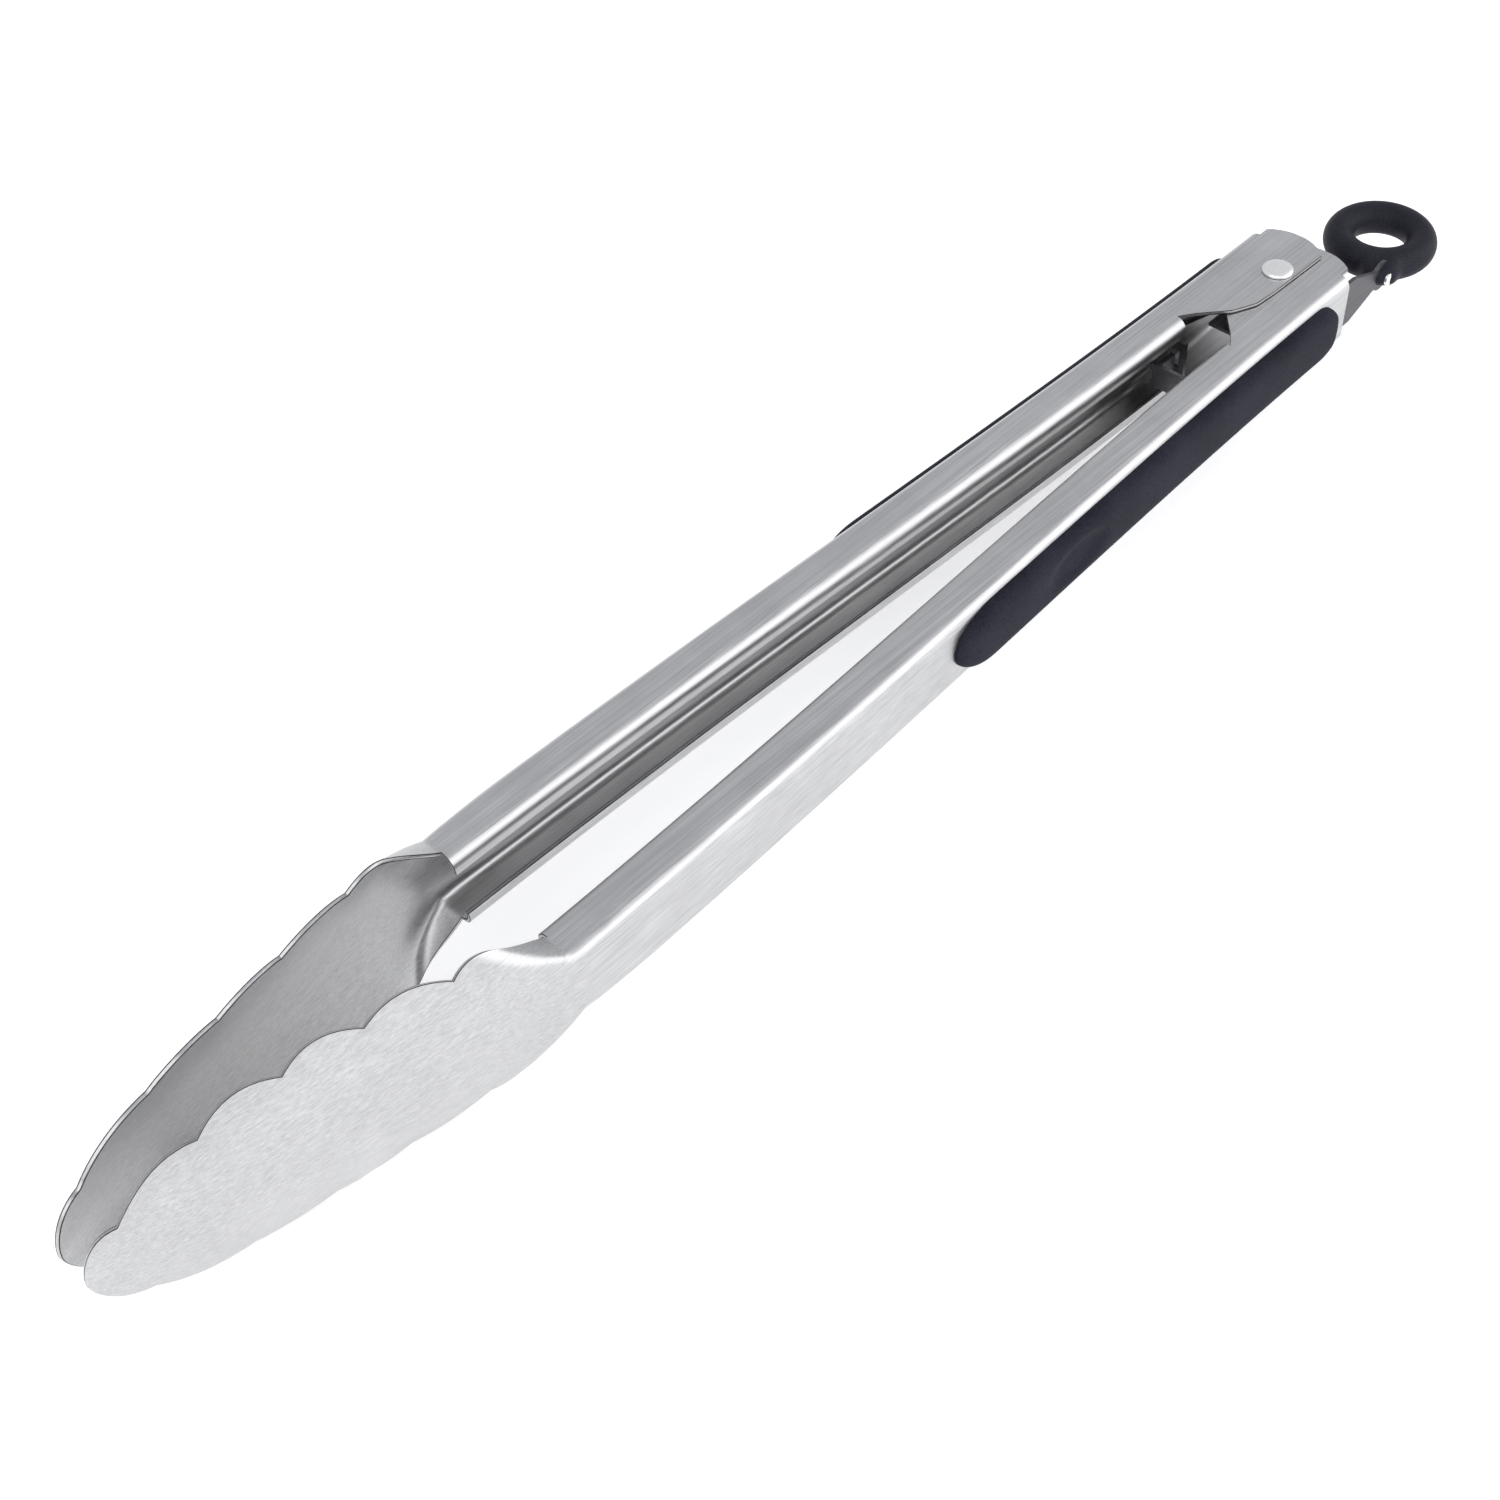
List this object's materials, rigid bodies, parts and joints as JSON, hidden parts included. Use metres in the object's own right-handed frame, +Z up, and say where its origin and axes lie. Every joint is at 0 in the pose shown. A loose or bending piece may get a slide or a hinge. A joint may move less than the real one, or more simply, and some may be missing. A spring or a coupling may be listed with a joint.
{
  "type": "kitchen tongs",
  "caption": "Long spring loaded kitchen tongs: scalloped sheet steel scoops on nested channel arms, rubber grips, and a slider latch with a pull ring.",
  "frame": {"origin": "under the middle of the whole object's box, in the plane it lies on", "axes": "+X from the scoops to the pull ring, +Y across the tongs from the front arm to the rear arm, +Z up along the pivot rivet"},
  "size_m": [0.3876, 0.042, 0.041],
  "materials": {
    "arm_steel": "brushed along the arm, satin",
    "grip_rubber": "matte charcoal",
    "rivet_steel": "polished by tumbling",
    "spring_steel": "drawn wire",
    "slider_steel": "plain rolled strip",
    "ring_rubber": "matte charcoal"
  },
  "bodies": {
    "rear_arm": {"rear_arm": "arm_steel", "rear_grip": "grip_rubber", "pivot_rivet": "rivet_steel", "spacer_sleeve": "rivet_steel", "torsion_spring": "spring_steel", "lock_keeper": "slider_steel"},
    "front_arm": {"front_arm": "arm_steel", "front_grip": "grip_rubber", "guide_rivet": "rivet_steel"},
    "lock_slider": {"lock_slider": "slider_steel"},
    "pull_ring": {"pull_ring": "ring_rubber", "ring_pin": "rivet_steel"}
  },
  "joints": [
    {"name": "jaw_hinge", "type": "hinge", "parent": "rear_arm", "child": "front_arm", "pos_m": [0.13985, 0, 0.0205], "axis": [0, 0, 1], "range_deg": [-1, 20], "stiffness_Nm_per_rad": 0.3, "deforming": ["torsion_spring"]},
    {"name": "lock_slide", "type": "slide", "parent": "front_arm", "child": "lock_slider", "axis": [1, 0, 0], "range_m": [-0.007, 0.0034]},
    {"name": "ring_swing", "type": "hinge", "parent": "lock_slider", "child": "pull_ring", "pos_m": [0.16735, -0.01275, 0.0205], "axis": [0, 1, 0], "range_deg": [-60, 60]}
  ]
}
